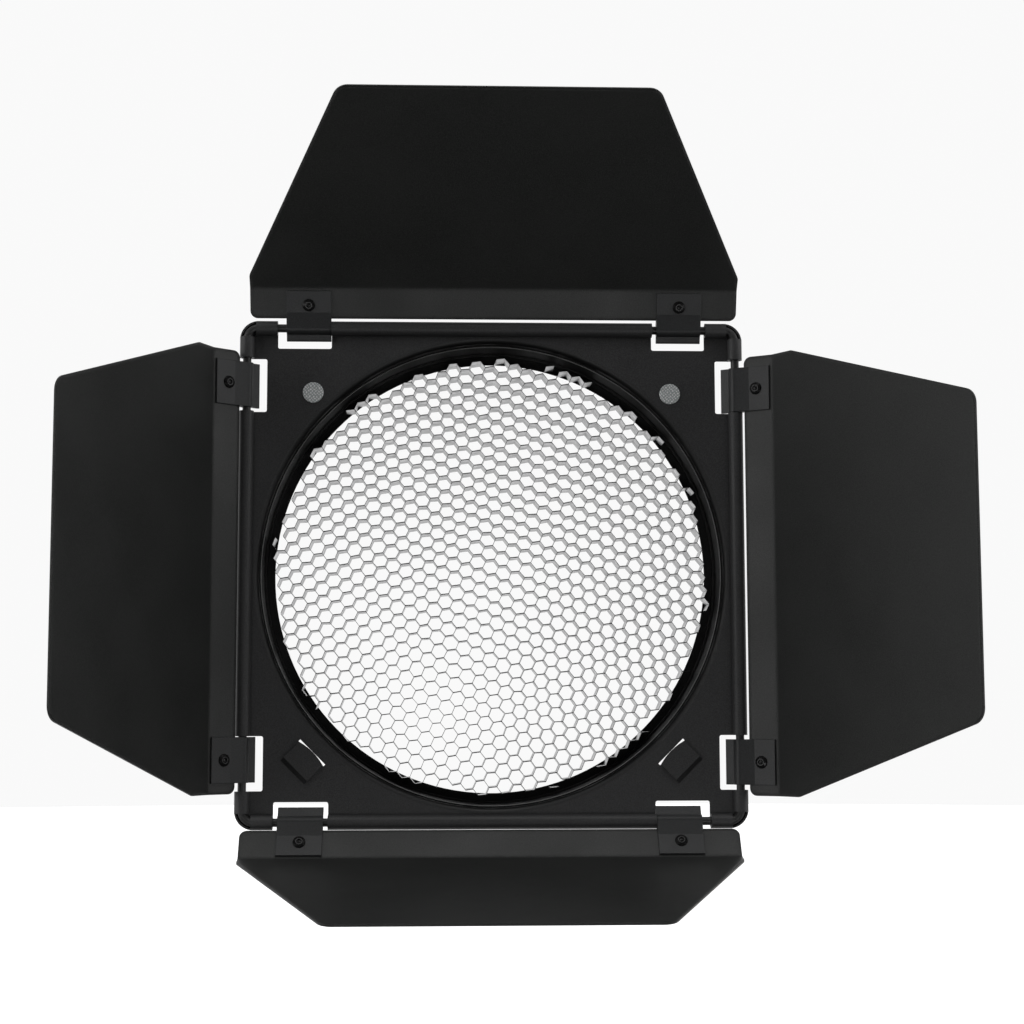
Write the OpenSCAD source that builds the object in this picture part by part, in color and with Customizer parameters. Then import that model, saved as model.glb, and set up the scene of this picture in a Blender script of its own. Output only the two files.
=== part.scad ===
// Four-leaf barn door with a honeycomb grid for a 7-inch studio reflector.
// Row frame: +Z up, front towards -Y, origin at the centre of the reflector's seat in the collar.
// The parts are drawn in a plate frame: x right, y up, z towards the front, z = 0 on the
// plate's front surface. The module in_use() turns that frame into the row frame.

/* [Back plate] */
// Width and height of the plate over its hems
plate_w = 200.8; // [196:0.1:210]
// Thickness of all pressed sheet
sheet_t = 0.8; // [0.6:0.1:1]
// Outer radius of the rolled hem
hem_r = 2.9; // [2.8:0.1:3.2]
// Outer radius of the plate's corners
corner_r = 7.5; // [7:0.5:9]
// Radius of the opening's straight wall
opening_r = 92.3; // [91:0.1:92.5]
// Radius of the rounded edge where the opening is drawn back
draw_r = 2.2; // [1.6:0.1:2.2]

/* [Notches and hinge wire] */
// Distance of each notch's centre from the middle of its side
notch_pos = 74.8; // [72:0.1:76]
// Width of a notch
notch_w = 21.4; // [20:0.1:22]
// Distance from the plate's centre to a notch's inner edge
notch_in = 89.7; // [89:0.1:90.5]
// Diameter of the hinge wire
wire_d = 3.3; // [2.6:0.1:3.4]

/* [Leaves] */
// Distance from the wire's axis to each leaf's hinge edge: top, left, bottom, right
leaf_gap = [4, 3.7, 3.7, 4.1];
// Distance from the wire's axis to the bend
bend_at = 16.2; // [16:0.1:18]
// Top and bottom leaves: half width, outer half width, distance of the widest point, reach
wide_leaf = [97.1, 60.3, 21.8, 102.4];
// Side leaves: half width, outer half width, distance of the widest point, reach
side_leaf = [87, 57.9, 27.4, 120.8];
// Bend of the top and side leaves
bend_angle = 25; // [20:1:30]
// Bend of the bottom leaf
bottom_bend = 45; // [25:1:46]

/* [Rest pose] */
// Tilt of each leaf towards the front: top, left, bottom, right
leaf_tilt = [17, 41, 34, 32.5];
// Slide of each leaf along its wire: top, left, bottom, right
leaf_slide = [0.85, 0.65, 0.85, 0.7];

/* [Hinge clips] */
// Distance of a clip's centre from the middle of its leaf
clip_pos = 73.9; // [72:0.1:75]
// Width of a clip
clip_w = 17.7; // [16:0.1:18]
// Reach of a clip over its leaf, from the wire's axis
clip_reach = 15.1; // [14:0.1:15.6]
// Reach of the clips' noses inwards from the wire's axis: top, left, bottom, right
clip_nose = [5.3, 6, 6.8, 6.1];
// Running clearance between clip and wire
wire_fit = 0.05; // [0.02:0.01:0.1]
// Distance from the wire's axis to the rivet
rivet_at = 9.4; // [9:0.1:10]

/* [Collar and grid] */
// Inner radius of the collar, where a reflector's rim goes
collar_r = 91.3; // [90:0.1:91.5]
// Depth of the grid's ledge behind the plate's front
ledge_depth = 21; // [19:0.5:24]
// Inner radius of the ledge
ledge_r = 87.3; // [86:0.1:88]
// Length of the collar behind the ledge
socket_len = 18.2; // [16:0.1:24]
// Radius of the honeycomb
grid_r = 88.6; // [88:0.1:89]
// Depth of the honeycomb
grid_t = 12.5; // [10:0.5:14]
// Distance between opposite walls of a cell, twice the real one to keep the solid light
cell_w = 11.24; // [5.62:0.01:15]
// Thickness of the honeycomb's walls
foil_t = 0.25; // [0.2:0.05:0.5]
// Turn of the honeycomb in its seat
grid_turn = 7; // [0:1:30]

/* [Magnets and tongues] */
// Diameter of a magnet
magnet_d = 8.3; // [8:0.1:10]
// Magnet positions, sideways and up
magnet_pos = [71.4, 72];
// Width of a tongue
tongue_w = 13.2; // [12:0.1:14]
// Length of a tongue
tongue_len = 11; // [10:0.5:12]
// Height of a tongue over the plate
tongue_lift = 1.2; // [1:0.1:2]
// Distance from the plate's centre to the slit along the tongue's free edge
tongue_at = 99.4; // [98.5:0.1:101]
// Length of that slit
slit_len = 13.9; // [13.5:0.1:16]
// Width of that slit
slit_w = 1; // [0.8:0.1:2]
// Radius of the tongue's bowed free edge
bow_r = 24; // [20:1:60]

/* [Thumbscrews] */
// Angle of the thumbscrews above and below the horizontal
screw_angle = 30; // [20:1:34]
// Radius of a thumbscrew's shank
screw_r = 2; // [1.5:0.1:2.5]
// Radius of a thumbscrew's knob
knob_r = 6.5; // [6:0.5:8]
// Length of the knob
knob_len = 9; // [7:0.5:12]
// Number of grip ribs on a knob
knob_ribs = 20; // [12:1:28]

/* [Hidden] */
$fn = 64;
sides = ["top", "left", "bottom", "right"];
corners = ["upper_right", "upper_left", "lower_left", "lower_right"];
hands = ["a", "b"];

wire_r = wire_d / 2;
hem_in = hem_r - sheet_t;
hem_lift = 0.05;
hinge_at = plate_w / 2 - hem_r;
hinge_z = hem_r - sheet_t + hem_lift;
corner_at = plate_w / 2 - corner_r;
notch_side = notch_w / 2;
collar_out = opening_r;
flange_end = -6.5;
collar_front = -5;
chamber_step = 0.05;
chamber_flare = 0.2;
ledge_z = -ledge_depth;
seat_z = ledge_z - sheet_t;
collar_back = seat_z - socket_len;
bead_r = 1.2;
screw_z = seat_z - socket_len / 2;
nut_h = 4;
nut_flat = 9;
screw_play = 0.05;
tip_back = 0.4;
travel = 3;
knob_at = collar_out + nut_h + travel;
knob_skin = 1.5;
leaf_bend_r = 0.8;

// Puts the plate frame into the row frame: front towards -Y, origin on the reflector's seat
module in_use() {
    translate([0, seat_z, 0]) rotate([90, 0, 0]) children();
}

// Frame of side i of the plate, with y outwards
module on_side(i) {
    rotate([0, 0, 90 * i]) children();
}

// Frame of leaf i: x along the wire, y outwards over the leaf, z out of its front face
module on_leaf(i) {
    on_side(i) translate([leaf_slide[i], hinge_at, hinge_z]) rotate([leaf_tilt[i], 0, 0]) children();
}

// Points of a closed outline whose corners p are rounded with radii r
function rounded(p, r, steps = 8) = [
    for (i = [0 : len(p) - 1])
        let (
            n = len(p),
            a = p[(i + n - 1) % n] - p[i],
            b = p[(i + 1) % n] - p[i],
            ua = a / norm(a),
            ub = b / norm(b),
            half = acos(ua * ub) / 2,
            mid = (ua + ub) / norm(ua + ub),
            centre = p[i] + mid * r[i] / sin(half),
            t1 = p[i] + ua * r[i] / tan(half) - centre,
            turn = 180 - 2 * half,
            way = (t1[0] * mid[1] - t1[1] * mid[0]) < 0 ? 1 : -1
        )
        for (k = [0 : steps])
            let (w = way * turn * k / steps)
            centre + [t1[0] * cos(w) - t1[1] * sin(w), t1[0] * sin(w) + t1[1] * cos(w)]
];

// Square sheet with rounded corners that carries the plate's hems
module plate_sheet() {
    reach = hinge_at + 0.3;
    q = [[-reach, -reach], [reach, -reach], [reach, reach], [-reach, reach]];
    r = reach - corner_at;
    translate([0, 0, -sheet_t]) linear_extrude(sheet_t) polygon(rounded(q, [r, r, r, r]));
}

// Solid rod of the hem's section along one side, from x = a to x = b
module hem_rod(r, a, b) {
    translate([a, hinge_at, hinge_z]) rotate([0, 90, 0]) cylinder(r = r, h = b - a);
}

// Upright wall round one corner, where the curl is cut away and the wire shows
module corner_wall() {
    translate([corner_at, corner_at, hinge_z]) rotate_extrude(angle = 90)
        translate([hinge_at - corner_at, 0]) intersection() {
            difference() {
                circle(r = hem_r);
                circle(r = hem_in);
            }
            translate([0, -hem_r]) square([hem_r, hem_r + 0.4]);
        }
}

// Edge of the opening, drawn back from the sheet
module drawn_edge() {
    rotate_extrude($fn = 180) {
        intersection() {
            translate([opening_r + draw_r, -draw_r]) difference() {
                circle(r = draw_r);
                circle(r = draw_r - sheet_t);
            }
            translate([opening_r, -draw_r]) square([draw_r, draw_r]);
        }
        translate([opening_r, flange_end]) square([sheet_t, -draw_r - flange_end]);
    }
}

// Notch in one side that lets a clip reach round the wire
module notch() {
    q = [[-notch_side, notch_in], [notch_side, notch_in], [notch_side, plate_w], [-notch_side, plate_w]];
    translate([0, 0, -plate_w / 2]) linear_extrude(plate_w) polygon(rounded(q, [0.8, 0.8, 0.8, 0.8], 4));
}

// Cuts round a tongue, in a frame with y away from the plate's centre: a slit and the tongue's window
module tongue_cuts() {
    lap = 0.05;
    deep = 2 * sheet_t;
    translate([-slit_len / 2, tongue_at, -deep]) cube([slit_len, slit_w, 2 * deep]);
    translate([-tongue_w / 2 + lap, tongue_at, -deep]) cube([tongue_w - 2 * lap, tongue_len, 2 * deep]);
}

// Lanced tongue: a step up from the sheet, then flat, with a bowed free edge over the slit's near side
module tongue() {
    root = tongue_at + tongue_len;
    step = root - tongue_lift - 0.6;
    free = tongue_at;
    intersection() {
        translate([-tongue_w / 2, 0, 0]) rotate([90, 0, 90]) linear_extrude(tongue_w) polygon([
            [root + 0.2, -sheet_t], [root + 0.2, 0], [step + 0.2, tongue_lift], [free, tongue_lift],
            [free, tongue_lift - sheet_t], [step - 0.2, tongue_lift - sheet_t]
        ]);
        translate([0, free + bow_r, -5]) cylinder(r = bow_r, h = 10, $fn = 180);
    }
}

module back_plate() {
    end = corner_at + 1;
    near = notch_pos - notch_side;
    far = notch_pos + notch_side;
    color([0.13, 0.13, 0.13]) in_use() {
        difference() {
            union() {
                difference() {
                    plate_sheet();
                    translate([0, 0, -5]) cylinder(r = opening_r + draw_r, h = 10, $fn = 180);
                }
                for (i = [0 : 3]) on_side(i) {
                    hem_rod(hem_r, -near, near);
                    hem_rod(hem_r, far, end);
                    hem_rod(hem_r, -end, -far);
                    corner_wall();
                }
            }
            for (i = [0 : 3]) on_side(i) {
                hem_rod(hem_in, -end - 1, end + 1);
                translate([-near - 1, hinge_at - hem_r - 1, 0]) cube([2 * near + 2, 2.3, 0.3]);
                for (s = [-1, 1]) translate([s * notch_pos, 0, 0]) notch();
            }
            for (s = [-1, 1]) rotate([0, 0, 180 + 45 * s]) tongue_cuts();
        }
        drawn_edge();
        for (s = [-1, 1]) rotate([0, 0, 180 + 45 * s]) tongue();
    }
}

module hinge_wire() {
    color([0.16, 0.16, 0.16]) in_use() for (i = [0 : 3]) on_side(i) {
        hem_rod(wire_r, -corner_at, corner_at);
        translate([corner_at, corner_at, hinge_z]) rotate_extrude(angle = 90)
            translate([hinge_at - corner_at, 0]) circle(r = wire_r);
    }
}

// Frame of thumbscrew i on the collar, with x outwards through it
module on_screw(i) {
    turn = [screw_angle, 180 - screw_angle, 180 + screw_angle, -screw_angle];
    rotate([0, 0, turn[i]]) translate([0, 0, screw_z]) children();
}

module collar() {
    color([0.12, 0.12, 0.12]) in_use() difference() {
        rotate_extrude($fn = 180) {
            translate([collar_r, collar_back]) square([collar_out - collar_r, socket_len]);
            polygon([
                [collar_r - chamber_step, seat_z], [collar_out, seat_z],
                [collar_out, collar_front], [collar_r + chamber_flare, collar_front]
            ]);
            translate([collar_r + bead_r, collar_back]) circle(r = bead_r);
        }
        for (i = [0 : 3]) on_screw(i) rotate([0, 90, 0]) cylinder(r = screw_r + 0.4, h = plate_w);
    }
}

// Ring that the honeycomb lies on: a skirt against the collar and a lip turned inwards
module grid_ledge() {
    skirt_h = 4;
    skirt_r = collar_r - chamber_step;
    color([0.1, 0.1, 0.1]) in_use() rotate_extrude($fn = 180) {
        translate([ledge_r, seat_z]) square([skirt_r - ledge_r, sheet_t]);
        translate([skirt_r - sheet_t, ledge_z]) square([sheet_t, skirt_h]);
    }
}

// Centres of the honeycomb's cells, with those that the rim cuts through
function cell_centres() =
    let (
        column = cell_w * sqrt(3) / 2,
        last = ceil(grid_r / column),
        keep = grid_r + cell_w / 3
    )
    [
        for (i = [-last : last])
            for (j = [-last : last])
                let (c = [i * column, (j + (i % 2 == 0 ? 0 : 0.5)) * cell_w])
                if (norm(c) < keep) c
    ];

// Disc of foil pierced by six-sided cells
module honeycomb() {
    hole_r = (cell_w - foil_t) / sqrt(3);
    color([0.75, 0.75, 0.76]) in_use() translate([0, 0, ledge_z]) rotate([0, 0, grid_turn]) difference() {
        cylinder(r = grid_r, h = grid_t, $fn = 180);
        for (c = cell_centres()) translate([c[0], c[1], -1]) cylinder(r = hole_r, h = grid_t + 2, $fn = 6);
    }
}

// Disc with a rounded rim, standing a little proud of the plate
module magnet(s) {
    proud = 0.5;
    edge = 0.2;
    color([0.62, 0.64, 0.64]) in_use() translate([s * magnet_pos[0], magnet_pos[1], 0]) rotate_extrude()
        polygon([[0, 0], [magnet_d / 2, 0], [magnet_d / 2, proud - edge], [magnet_d / 2 - edge, proud], [0, proud]]);
}

// Section of a leaf from hinge edge to outer edge, bent towards the front
function leaf_section(gap, reach, bend) =
    let (
        h = sheet_t / 2,
        steps = 6,
        inner = leaf_bend_r,
        outer = leaf_bend_r + sheet_t,
        centre = [bend_at - (inner + h) * tan(bend / 2), inner + h],
        way = [cos(bend), sin(bend)],
        up = [-sin(bend), cos(bend)],
        tip = [bend_at, 0] + (reach - bend_at) * way
    )
    concat(
        [[gap, -h]],
        [for (k = [0 : steps]) let (w = bend * k / steps) centre + outer * [sin(w), -cos(w)]],
        [tip - h * up, tip + h * up],
        [for (k = [0 : steps]) let (w = bend * (1 - k / steps)) centre + inner * [sin(w), -cos(w)]],
        [[gap, h]]
    );

// Leaf i: shape holds half width, outer half width, distance of the widest point and reach
module leaf(i, shape, bend) {
    half = shape[0];
    outer_half = shape[1];
    wide_at = shape[2] - bend_at;
    reach = shape[3];
    gap = leaf_gap[i];
    hinge_round = 3;
    outline = rounded(
        [
            [-half, -30], [half, -30], [half, wide_at], [outer_half, reach - bend_at],
            [-outer_half, reach - bend_at], [-half, wide_at]
        ],
        [1, 1, 3, 6, 6, 3]);
    corner = rounded(
        [[-half, gap], [half, gap], [half, 3 * gap], [-half, 3 * gap]],
        [hinge_round, hinge_round, 0.1, 0.1]);
    color([0.08, 0.08, 0.08]) in_use() on_leaf(i) difference() {
        intersection() {
            translate([-plate_w / 2, 0, 0]) rotate([90, 0, 90]) linear_extrude(plate_w)
                polygon(leaf_section(gap, reach, bend));
            translate([0, bend_at, 0]) rotate([bend, 0, 0])
                translate([0, 0, -plate_w / 2]) linear_extrude(plate_w) polygon(outline);
        }
        translate([0, 0, -5]) linear_extrude(10) difference() {
            translate([-half - 1, gap - 1]) square([2 * half + 2, hinge_round + 1]);
            polygon(corner);
        }
        for (s = [-1, 1]) translate([s * clip_pos, rivet_at, -5]) cylinder(r = 1.3, h = 10);
    }
}

// Strap folded round the wire: both layers lie on the leaf, and the nose is pinched shut
module clip(i, s) {
    layer = 1.5 * sheet_t;
    barrel = wire_r + wire_fit + sheet_t;
    blend = 6.5;
    nose = clip_nose[i] - sheet_t;
    color([0.1, 0.1, 0.1]) in_use() on_leaf(i) translate([s * clip_pos - clip_w / 2, 0, 0]) difference() {
        rotate([90, 0, 90]) linear_extrude(clip_w) union() {
            circle(r = barrel);
            polygon([
                [0, -barrel], [blend, -layer], [clip_reach, -layer],
                [clip_reach, layer], [blend, layer], [0, barrel]
            ]);
            translate([-nose, -sheet_t]) square([nose, 2 * sheet_t]);
            translate([-nose, 0]) circle(r = sheet_t);
        }
        translate([-1, 0, 0]) rotate([0, 90, 0]) cylinder(r = wire_r + wire_fit, h = clip_w + 2);
        translate([-1, wire_r, -sheet_t / 2]) cube([clip_w + 2, clip_reach, sheet_t]);
        translate([clip_w / 2, rivet_at, -5]) cylinder(r = 1.3, h = 10);
    }
}

// Blind rivet: flat domed head with the broken-off mandrel in its middle, and a set tail
module rivet(i, s) {
    layer = 1.5 * sheet_t;
    head_r = 2.5;
    head_h = 0.9;
    tail_r = 2;
    tail_h = 1;
    color([0.14, 0.14, 0.14]) in_use() on_leaf(i) translate([s * clip_pos, rivet_at, 0]) rotate_extrude($fn = 48)
        polygon([
            [0, -layer - tail_h], [0.7 * tail_r, -layer - tail_h], [tail_r, -layer - tail_h / 2], [tail_r, -layer],
            [1.3, -layer], [1.3, layer], [head_r, layer], [0.92 * head_r, layer + 0.6 * head_h],
            [0.55 * head_r, layer + head_h], [1, layer + head_h], [0.95, layer + 0.3],
            [0.8, layer + 0.3], [0.7, layer + 0.75 * head_h], [0, layer + 0.9 * head_h]
        ]);
}

// Square weld nut on the outside of the collar
module nut(i) {
    color([0.3, 0.3, 0.3]) in_use() difference() {
        on_screw(i) translate([collar_out - 1, -nut_flat / 2, -nut_flat / 2]) cube([nut_h + 1, nut_flat, nut_flat]);
        translate([0, 0, collar_back]) cylinder(r = collar_out, h = 2 * socket_len, $fn = 180);
        on_screw(i) rotate([0, 90, 0]) cylinder(r = screw_r + screw_play, h = plate_w);
    }
}

// Steel screw of a thumbscrew, drawn out until its tip clears the socket
module screw(i) {
    tip = collar_r + tip_back;
    chamfer = 0.4;
    end = knob_at + knob_len - knob_skin;
    color([0.5, 0.5, 0.52]) in_use() on_screw(i) rotate([0, 90, 0]) {
        translate([0, 0, tip]) cylinder(r1 = screw_r - chamfer, r2 = screw_r, h = chamfer);
        translate([0, 0, tip + chamfer]) cylinder(r = screw_r, h = end - tip - chamfer);
    }
}

// Ribbed knob moulded on a screw's outer end
module knob(i) {
    edge = 1.5;
    rib_r = 0.6;
    color([0.1, 0.1, 0.1]) in_use() on_screw(i) rotate([0, 90, 0]) translate([0, 0, knob_at]) difference() {
        union() {
            cylinder(r1 = knob_r - edge, r2 = knob_r, h = edge);
            translate([0, 0, edge]) cylinder(r = knob_r, h = knob_len - 2 * edge);
            translate([0, 0, knob_len - edge]) cylinder(r1 = knob_r, r2 = knob_r - edge, h = edge);
            for (k = [0 : knob_ribs - 1]) rotate([0, 0, 360 * k / knob_ribs])
                translate([knob_r, 0, edge]) cylinder(r = rib_r, h = knob_len - 2 * edge, $fn = 16);
        }
        translate([0, 0, -1]) cylinder(r = screw_r, h = knob_len - knob_skin + 1);
    }
}

back_plate();
hinge_wire();
collar();
grid_ledge();
honeycomb();
magnet(-1);  // magnet_left
magnet(1);  // magnet_right
leaf(0, wide_leaf, bend_angle);  // leaf_top
leaf(1, side_leaf, bend_angle);  // leaf_left
leaf(2, wide_leaf, bottom_bend);  // leaf_bottom
leaf(3, side_leaf, bend_angle);  // leaf_right
for (i = [0 : 3], h = [0 : 1]) {
    clip(i, 2 * h - 1);
    rivet(i, 2 * h - 1);
}
for (i = [0 : 3]) {
    nut(i);
    screw(i);
    knob(i);
}
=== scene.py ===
"""Studio picture of a four-leaf barn door with a honeycomb grid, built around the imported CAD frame."""

import math

import bpy
from mathutils import Matrix, Vector, noise


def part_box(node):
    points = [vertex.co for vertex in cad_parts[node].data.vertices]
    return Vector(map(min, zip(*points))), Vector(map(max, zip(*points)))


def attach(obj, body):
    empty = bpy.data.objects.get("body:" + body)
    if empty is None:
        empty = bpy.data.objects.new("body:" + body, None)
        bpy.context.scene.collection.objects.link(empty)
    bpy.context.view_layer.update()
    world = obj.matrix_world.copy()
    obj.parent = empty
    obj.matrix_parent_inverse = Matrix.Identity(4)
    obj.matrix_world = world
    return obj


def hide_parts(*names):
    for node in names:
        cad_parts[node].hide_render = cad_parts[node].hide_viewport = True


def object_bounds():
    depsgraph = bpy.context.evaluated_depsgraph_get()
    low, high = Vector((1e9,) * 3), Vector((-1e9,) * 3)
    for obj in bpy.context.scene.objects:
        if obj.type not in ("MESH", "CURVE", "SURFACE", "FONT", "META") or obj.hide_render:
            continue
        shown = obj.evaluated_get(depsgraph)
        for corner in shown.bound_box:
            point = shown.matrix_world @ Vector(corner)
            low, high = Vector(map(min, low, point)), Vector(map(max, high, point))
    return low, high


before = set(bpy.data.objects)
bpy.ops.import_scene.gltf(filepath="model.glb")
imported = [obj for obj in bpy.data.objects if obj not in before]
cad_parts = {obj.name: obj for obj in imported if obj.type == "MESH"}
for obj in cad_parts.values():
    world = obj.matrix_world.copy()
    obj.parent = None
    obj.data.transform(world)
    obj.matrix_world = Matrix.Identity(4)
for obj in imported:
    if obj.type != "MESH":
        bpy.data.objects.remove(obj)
cad_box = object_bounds()

MM = 0.001
SIDES = ("top", "left", "bottom", "right")
CORNERS = ("upper_right", "upper_left", "lower_left", "lower_right")
HANDS = ("a", "b")

# ---------------------------------------------------------------- camera and stage

CAMERA_AT = (-0.0235, -0.7877, -0.0584)
CAMERA_TURN = (96.155, 0.12, -2.335)
CAMERA_LENS = 68.12


def make_camera():
    data = bpy.data.cameras.new("camera")
    data.lens = CAMERA_LENS
    data.sensor_width = 36
    camera = bpy.data.objects.new("camera", data)
    camera.location = CAMERA_AT
    camera.rotation_euler = [math.radians(a) for a in CAMERA_TURN]
    bpy.context.scene.collection.objects.link(camera)
    bpy.context.scene.camera = camera


def area_light(name, place, target, size, power):
    data = bpy.data.lights.new(name, "AREA")
    data.shape = "RECTANGLE"
    data.size = size[0]
    data.size_y = size[1]
    data.energy = power
    light = bpy.data.objects.new(name, data)
    light.location = place
    light.rotation_euler = (Vector(target) - Vector(place)).to_track_quat("-Z", "Y").to_euler()
    bpy.context.scene.collection.objects.link(light)


def make_lights():
    centre = (0, 0, 0)
    area_light("left", (-1.45, -0.75, 0.2), centre, (1, 1.2), 13)
    area_light("top", (0.1, -0.75, 1.5), centre, (1.4, 0.8), 10)
    area_light("right", (1.5, -0.6, 0.2), centre, (1, 1.2), 10)
    area_light("front", (0.1, -1.5, -0.65), centre, (1, 0.6), 8)


def make_world():
    """Plain white all round for the camera, and a white wall in front for the object's reflections."""
    world = bpy.data.worlds.new("studio")
    world.use_nodes = True
    tree = world.node_tree
    tree.nodes.clear()
    out = tree.nodes.new("ShaderNodeOutputWorld")
    where = tree.nodes.new("ShaderNodeTexCoord")
    split = tree.nodes.new("ShaderNodeSeparateXYZ")
    tree.links.new(where.outputs["Generated"], split.inputs[0])
    ramp = tree.nodes.new("ShaderNodeMapRange")
    ramp.interpolation_type = "SMOOTHSTEP"
    ramp.inputs["From Min"].default_value = -0.25
    ramp.inputs["From Max"].default_value = 0.45
    ramp.inputs["To Min"].default_value = 0.08
    ramp.inputs["To Max"].default_value = 1.05
    tree.links.new(split.outputs["Y"], ramp.inputs["Value"])
    soft = tree.nodes.new("ShaderNodeBackground")
    soft.inputs["Color"].default_value = (1, 1, 1, 1)
    tree.links.new(ramp.outputs[0], soft.inputs["Strength"])
    plain = tree.nodes.new("ShaderNodeBackground")
    plain.inputs["Color"].default_value = (1, 1, 1, 1)
    plain.inputs["Strength"].default_value = 0.95
    path = tree.nodes.new("ShaderNodeLightPath")
    mix = tree.nodes.new("ShaderNodeMixShader")
    tree.links.new(path.outputs["Is Camera Ray"], mix.inputs[0])
    tree.links.new(soft.outputs[0], mix.inputs[1])
    tree.links.new(plain.outputs[0], mix.inputs[2])
    tree.links.new(mix.outputs[0], out.inputs["Surface"])
    bpy.context.scene.world = world


def make_floor():
    """Round white table top that reaches far past every view."""
    radius = 8
    below = cad_box[0].z - 0.3
    mesh = bpy.data.meshes.new("floor")
    steps = 64
    rim = [(radius * math.cos(2 * math.pi * k / steps), radius * math.sin(2 * math.pi * k / steps), below)
           for k in range(steps)]
    mesh.from_pydata(rim, [], [tuple(range(steps))])
    floor = bpy.data.objects.new("floor", mesh)
    bpy.context.scene.collection.objects.link(floor)
    floor.visible_diffuse = False
    floor.visible_glossy = False
    material, shader = new_material("floor_white")
    shader.inputs["Base Color"].default_value = (0.9, 0.9, 0.9, 1)
    shader.inputs["Roughness"].default_value = 0.9
    shader.inputs["Emission Color"].default_value = (1, 1, 1, 1)
    shader.inputs["Emission Strength"].default_value = 0.8
    mesh.materials.append(material)


# ---------------------------------------------------------------- material helpers

def new_material(name):
    material = bpy.data.materials.new(name)
    material.use_nodes = True
    return material, material.node_tree.nodes["Principled BSDF"]


def object_point(material):
    return material.node_tree.nodes.new("ShaderNodeTexCoord").outputs["Object"]


def noise_at(material, scale, detail=2.0, rough=0.5):
    """Noise in the object's own metres: scale is lumps per metre."""
    tree = material.node_tree
    node = tree.nodes.new("ShaderNodeTexNoise")
    node.inputs["Scale"].default_value = scale
    node.inputs["Detail"].default_value = detail
    node.inputs["Roughness"].default_value = rough
    tree.links.new(object_point(material), node.inputs["Vector"])
    return node.outputs["Fac"]


def ranged(material, value, low, high, start=0.3, end=0.7):
    """Value between start and end spread from low to high."""
    tree = material.node_tree
    node = tree.nodes.new("ShaderNodeMapRange")
    node.inputs["From Min"].default_value = start
    node.inputs["From Max"].default_value = end
    node.inputs["To Min"].default_value = low
    node.inputs["To Max"].default_value = high
    tree.links.new(value, node.inputs["Value"])
    return node.outputs[0]


def mixed(material, factor, first, second):
    """Colour between first and second; each is a colour or a socket."""
    tree = material.node_tree
    node = tree.nodes.new("ShaderNodeMix")
    node.data_type = "RGBA"
    tree.links.new(factor, node.inputs["Factor"])
    for socket, value in (("A", first), ("B", second)):
        target = [s for s in node.inputs if s.name == socket and s.type == "RGBA"][0]
        if isinstance(value, tuple):
            target.default_value = (*value, 1)
        else:
            tree.links.new(value, target)
    return [s for s in node.outputs if s.type == "RGBA"][0]


def bumped(material, height, depth, round_r=0.0, strength=1.0):
    """Normal with height as bump of that depth, on edges rounded by round_r; all in metres."""
    tree = material.node_tree
    bump = tree.nodes.new("ShaderNodeBump")
    bump.inputs["Strength"].default_value = strength
    bump.inputs["Distance"].default_value = depth
    tree.links.new(height, bump.inputs["Height"])
    if round_r:
        bevel = tree.nodes.new("ShaderNodeBevel")
        bevel.samples = 4
        bevel.inputs["Radius"].default_value = round_r
        tree.links.new(bevel.outputs[0], bump.inputs["Normal"])
    return bump.outputs[0]


# ---------------------------------------------------------------- materials

def powder_coat(name, dark, light, roughness, grain=2600, depth=0.00004, round_r=0.0002, shine=0.3):
    """Fine-grained powder coat: dusty lighter grains on a dark ground, slightly uneven gloss."""
    material, shader = new_material(name)
    tree = material.node_tree
    grains = noise_at(material, grain, 2, 0.6)
    patches = noise_at(material, 35, 3)
    fine = mixed(material, ranged(material, grains, 0, 1, 0.35, 0.75), dark, light)
    worn = mixed(material, ranged(material, patches, 0, 0.25), fine, light)
    tree.links.new(worn, shader.inputs["Base Color"])
    tree.links.new(ranged(material, patches, roughness - 0.04, roughness + 0.05), shader.inputs["Roughness"])
    tree.links.new(bumped(material, grains, depth, round_r), shader.inputs["Normal"])
    shader.inputs["Specular IOR Level"].default_value = shine
    return material


def paint_opening_shade(material, start, end):
    """Painted shade: the plate's colour goes to near black between two radii, on the drawn wall of the plate's opening.
    """
    tree = material.node_tree
    shader = tree.nodes["Principled BSDF"]
    flat = tree.nodes.new("ShaderNodeVectorMath")
    flat.operation = "MULTIPLY"
    flat.inputs[1].default_value = (1, 0, 1)
    tree.links.new(object_point(material), flat.inputs[0])
    radius = tree.nodes.new("ShaderNodeVectorMath")
    radius.operation = "LENGTH"
    tree.links.new(flat.outputs[0], radius.inputs[0])
    coat = shader.inputs["Base Color"].links[0].from_socket
    reach = ranged(material, radius.outputs["Value"], 0, 1, start, end)
    # painted shade: near-black colour mixed over the coat between the two radii, where the opening's wall lies in shade
    tree.links.new(mixed(material, reach, (0.004, 0.004, 0.004), coat), shader.inputs["Base Color"])


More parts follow.
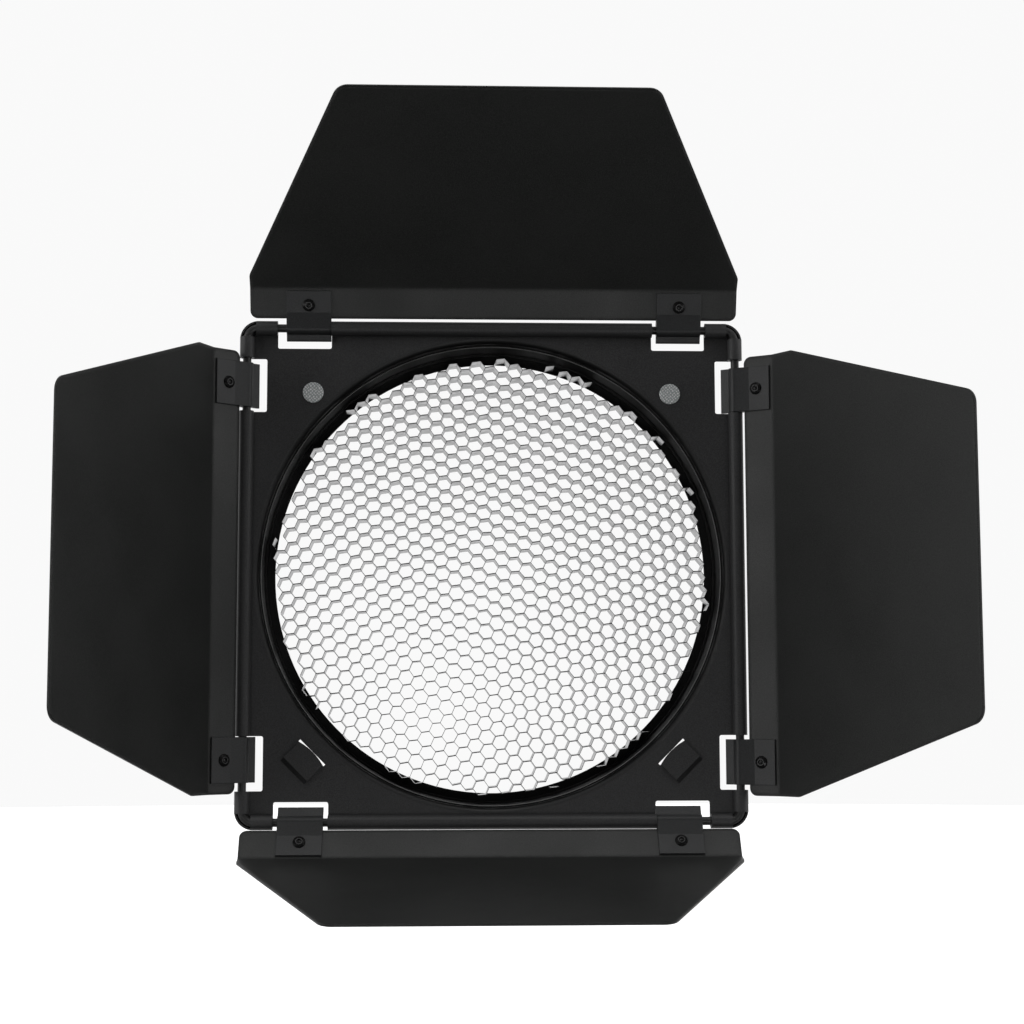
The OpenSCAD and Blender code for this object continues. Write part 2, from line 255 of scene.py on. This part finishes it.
def foil(front, back):
    """Bare rolled aluminium between two depths: front edge painted dark as painted shade, front half painted lighter
    and back half darker as painted light and shade in the cells, creases.
    """
    material, shader = new_material("grid_foil")
    tree = material.node_tree
    creases = noise_at(material, 420, 2)
    patches = noise_at(material, 160, 1)
    split = tree.nodes.new("ShaderNodeSeparateXYZ")
    tree.links.new(object_point(material), split.inputs[0])
    depth = split.outputs["Y"]
    middle = (front + back) / 2
    # painted light and shade: the cell walls' front half lighter, their back half darker
    half = ranged(material, depth, 0, 1, middle - 0.2 * MM, middle + 0.2 * MM)
    # painted shade: a dark band along the walls' front edge
    painted_edge_shade = ranged(material, depth, 0, 1, front + 0.1 * MM, front + 0.6 * MM)
    painted_lit_front = mixed(material, ranged(material, patches, 0, 1), (0.36, 0.36, 0.365), (0.48, 0.48, 0.485))
    painted_shaded_back = mixed(material, ranged(material, patches, 0, 1), (0.2, 0.2, 0.205), (0.32, 0.32, 0.325))
    painted_light_bands = mixed(material, half, painted_lit_front, painted_shaded_back)
    tree.links.new(mixed(material, painted_edge_shade, (0.015, 0.015, 0.015), painted_light_bands), shader.inputs["Base Color"])
    tree.links.new(ranged(material, creases, 0.26, 0.42), shader.inputs["Roughness"])
    tree.links.new(bumped(material, creases, 0.0001), shader.inputs["Normal"])
    shader.inputs["Metallic"].default_value = 0.95
    return material


def nickel():
    """Dull nickel plate with a crossed pattern of fine scratches."""
    material, shader = new_material("magnet_nickel")
    tree = material.node_tree
    waves = []
    for turn in (40, 130):
        place = tree.nodes.new("ShaderNodeMapping")
        place.inputs["Rotation"].default_value = (0, math.radians(turn), 0)
        tree.links.new(object_point(material), place.inputs["Vector"])
        wave = tree.nodes.new("ShaderNodeTexWave")
        wave.bands_direction = "X"
        wave.inputs["Scale"].default_value = 320
        wave.inputs["Distortion"].default_value = 4
        wave.inputs["Detail"].default_value = 2
        wave.inputs["Detail Scale"].default_value = 3
        tree.links.new(place.outputs[0], wave.inputs["Vector"])
        waves.append(wave.outputs["Fac"])
    both = tree.nodes.new("ShaderNodeMath")
    both.operation = "MULTIPLY"
    tree.links.new(waves[0], both.inputs[0])
    tree.links.new(waves[1], both.inputs[1])
    weave = both.outputs[0]
    colour = mixed(material, ranged(material, weave, 0, 1, 0.1, 0.7), (0.48, 0.51, 0.51), (1, 1, 1))
    tree.links.new(colour, shader.inputs["Base Color"])
    tree.links.new(ranged(material, weave, 0.55, 0.35, 0, 1), shader.inputs["Roughness"])
    tree.links.new(bumped(material, weave, 0.00003, 0.0002), shader.inputs["Normal"])
    shader.inputs["Metallic"].default_value = 0.8
    return material


def steel(name, colour, roughness):
    """Plated steel with a fine uneven haze."""
    material, shader = new_material(name)
    tree = material.node_tree
    haze = noise_at(material, 700, 3)
    darker = tuple(c * 0.75 for c in colour)
    tree.links.new(mixed(material, ranged(material, haze, 0, 1), darker, colour), shader.inputs["Base Color"])
    tree.links.new(ranged(material, haze, roughness, roughness + 0.15), shader.inputs["Roughness"])
    tree.links.new(bumped(material, haze, 0.00002, 0.0002), shader.inputs["Normal"])
    shader.inputs["Metallic"].default_value = 1
    return material


def paint(nodes, material):
    for name in nodes:
        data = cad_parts[name].data
        data.materials.clear()
        data.materials.append(material)


def paint_cad():
    plate = powder_coat("plate_paint", (0.021, 0.021, 0.0215), (0.048, 0.048, 0.049), 0.5)
    ring = powder_coat("ring_paint", (0.016, 0.016, 0.016), (0.036, 0.036, 0.036), 0.66, shine=0.15)
    leaf = powder_coat("leaf_paint", (0.0125, 0.013, 0.0125), (0.03, 0.031, 0.03), 0.46, round_r=0.002)
    clip = powder_coat("clip_paint", (0.014, 0.0145, 0.015), (0.032, 0.033, 0.034), 0.46, round_r=0.0004)
    wire = powder_coat("wire_paint", (0.02, 0.02, 0.02), (0.04, 0.04, 0.04), 0.38, grain=1800)
    rivet = powder_coat("rivet_black", (0.004, 0.004, 0.004), (0.01, 0.01, 0.01), 0.25, grain=1500, shine=0.2)
    knob = powder_coat("knob_black", (0.012, 0.012, 0.012), (0.03, 0.03, 0.03), 0.45, grain=1500)
    # painted shade on the drawn wall of the plate's opening
    paint_opening_shade(plate, 92.8 * MM, 94.8 * MM)
    paint(["back_plate"], plate)
    paint(["collar", "grid_ledge"], ring)
    paint(["hinge_wire"], wire)
    paint(["magnet_left", "magnet_right"], nickel())
    paint(["nut_" + c for c in CORNERS], steel("nut_zinc", (0.55, 0.56, 0.58), 0.3))
    paint(["screw_" + c for c in CORNERS], steel("screw_zinc", (0.5, 0.51, 0.53), 0.32))
    paint(["knob_" + c for c in CORNERS], knob)
    for side in SIDES:
        paint(["leaf_" + side], leaf)
        paint([f"clip_{side}_{h}" for h in HANDS], clip)
        paint([f"rivet_{side}_{h}" for h in HANDS], rivet)


# ---------------------------------------------------------------- honeycomb

CELL = 5.6 * MM
FOIL = 0.16 * MM
GRID_TURN = math.radians(7)
RIM_REACH = 0.1 * MM
RIM_RAGGED = 0.5 * MM


def lattice_shift(x, z):
    """How far the stretched foil has moved a fold from its even place."""
    slow = noise.noise_vector(Vector((x * 45, z * 45, 3.7)))
    quick = noise.noise_vector(Vector((x * 190, z * 190, 8.1)))
    return (slow.x * 0.55 + quick.x * 0.3) * MM, (slow.y * 0.55 + quick.y * 0.3) * MM


def foil_rows(radius):
    """Folded rows of foil, each a list of (x, z) points, kept where they wall a whole cell."""
    side = CELL / math.sqrt(3)
    rows = math.ceil(radius / (CELL / 2)) + 1
    columns = math.ceil(radius / (1.5 * side)) + 1
    bond = FOIL * 0.55
    out = []
    for n in range(-rows, rows):
        points = []
        for j in range(-columns, columns + 1):
            low = (n + j) % 2 == 0
            level = (n if low else n + 1) * CELL / 2
            for end in (-0.5, 0.5):
                x = (1.5 * j + end) * side
                dx, dz = lattice_shift(x, level)
                points.append((x + dx, level + dz + (bond if low else -bond)))
        out.extend(whole_walls(points, radius - side))
    return out


def whole_walls(points, reach):
    """Stretches of a row whose walls belong to a cell with its centre within reach."""
    runs = []
    run = []
    for a, b in zip(points, points[1:]):
        if walls_a_cell(a, b, reach):
            run = run + [b] if run else [a, b]
        elif run:
            runs.append(run)
            run = []
    if run:
        runs.append(run)
    return runs


def walls_a_cell(a, b, reach):
    """True if a cell on either side of the wall from a to b has its centre within reach."""
    middle = Vector(((a[0] + b[0]) / 2, (a[1] + b[1]) / 2))
    across = Vector((a[1] - b[1], b[0] - a[0])).normalized() * CELL / 2
    torn = RIM_RAGGED * noise.noise(Vector((middle.x * 300, middle.y * 300, 1.3)))
    return min((middle + across).length, (middle - across).length) < reach + torn


def strip(points, half, front, back, verts, faces):
    """Adds one folded strip of foil, with thickness, between two depths."""
    start = len(verts)
    count = len(points)
    for k, p in enumerate(points):
        before = points[max(k - 1, 0)]
        after = points[min(k + 1, count - 1)]
        a = Vector((p[0] - before[0], p[1] - before[1]))
        b = Vector((after[0] - p[0], after[1] - p[1]))
        u = (a if a.length > 0 else b).normalized()
        v = (b if b.length > 0 else a).normalized()
        across = Vector((-u.y - v.y, u.x + v.x)) / (1 + u.dot(v)) * half
        for sign in (1, -1):
            x = p[0] + sign * across.x
            z = p[1] + sign * across.y
            for depth in (front, back):
                verts.append((x, depth, z))
    for k in range(count - 1):
        i = start + 4 * k
        j = i + 4
        faces.append((i, i + 1, j + 1, j))
        faces.append((i + 2, j + 2, j + 3, i + 3))
        faces.append((i, j, j + 2, i + 2))
        faces.append((i + 1, i + 3, j + 3, j + 1))
    last = start + 4 * (count - 1)
    faces.append((start, start + 2, start + 3, start + 1))
    faces.append((last, last + 1, last + 3, last + 2))


def make_honeycomb():
    low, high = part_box("honeycomb")
    radius = (high.x - low.x) / 2 + RIM_REACH
    verts = []
    faces = []
    for points in foil_rows(radius):
        strip(points, FOIL / 2, low.y, high.y, verts, faces)
    mesh = bpy.data.meshes.new("honeycomb_foil")
    mesh.from_pydata(verts, [], faces)
    mesh.transform(Matrix.Rotation(-GRID_TURN, 4, "Y"))
    mesh.materials.append(foil(low.y, high.y))
    mesh.update()
    grid = bpy.data.objects.new("honeycomb_foil", mesh)
    bpy.context.scene.collection.objects.link(grid)
    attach(grid, "frame")
    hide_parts("honeycomb")


# ---------------------------------------------------------------- collar edge

EDGE_R = 91.7 * MM
EDGE_THICK = 0.22 * MM
EDGE_DEPTH = -16.8 * MM


def make_collar_edge():
    """Burr round the collar's front end, whose round surface catches the light; its paint is far lighter than the
    collar's, a painted highlight line.
    """
    around = 240
    across = 8
    verts = []
    faces = []
    for k in range(around):
        turn = 2 * math.pi * k / around
        for m in range(across):
            w = 2 * math.pi * m / across
            r = EDGE_R + EDGE_THICK * math.cos(w)
            verts.append((r * math.cos(turn), EDGE_DEPTH + EDGE_THICK * math.sin(w), r * math.sin(turn)))
            i, j = k * across, (k + 1) % around * across
            n = (m + 1) % across
            faces.append((i + m, i + n, j + n, j + m))
    mesh = bpy.data.meshes.new("collar_edge")
    mesh.from_pydata(verts, [], faces)
    mesh.shade_smooth()
    # painted highlight: the ring's colour is several times lighter than the collar's paint
    mesh.materials.append(powder_coat("edge_highlight_paint", (0.12, 0.12, 0.12), (0.18, 0.18, 0.18), 0.35, round_r=0, shine=0.5))
    mesh.update()
    edge = bpy.data.objects.new("collar_edge", mesh)
    bpy.context.scene.collection.objects.link(edge)
    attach(edge, "frame")


# ---------------------------------------------------------------- the scene


make_camera()
make_world()
make_lights()
make_floor()
paint_cad()
make_honeycomb()
make_collar_edge()
bpy.context.scene.view_settings.view_transform = "Standard"
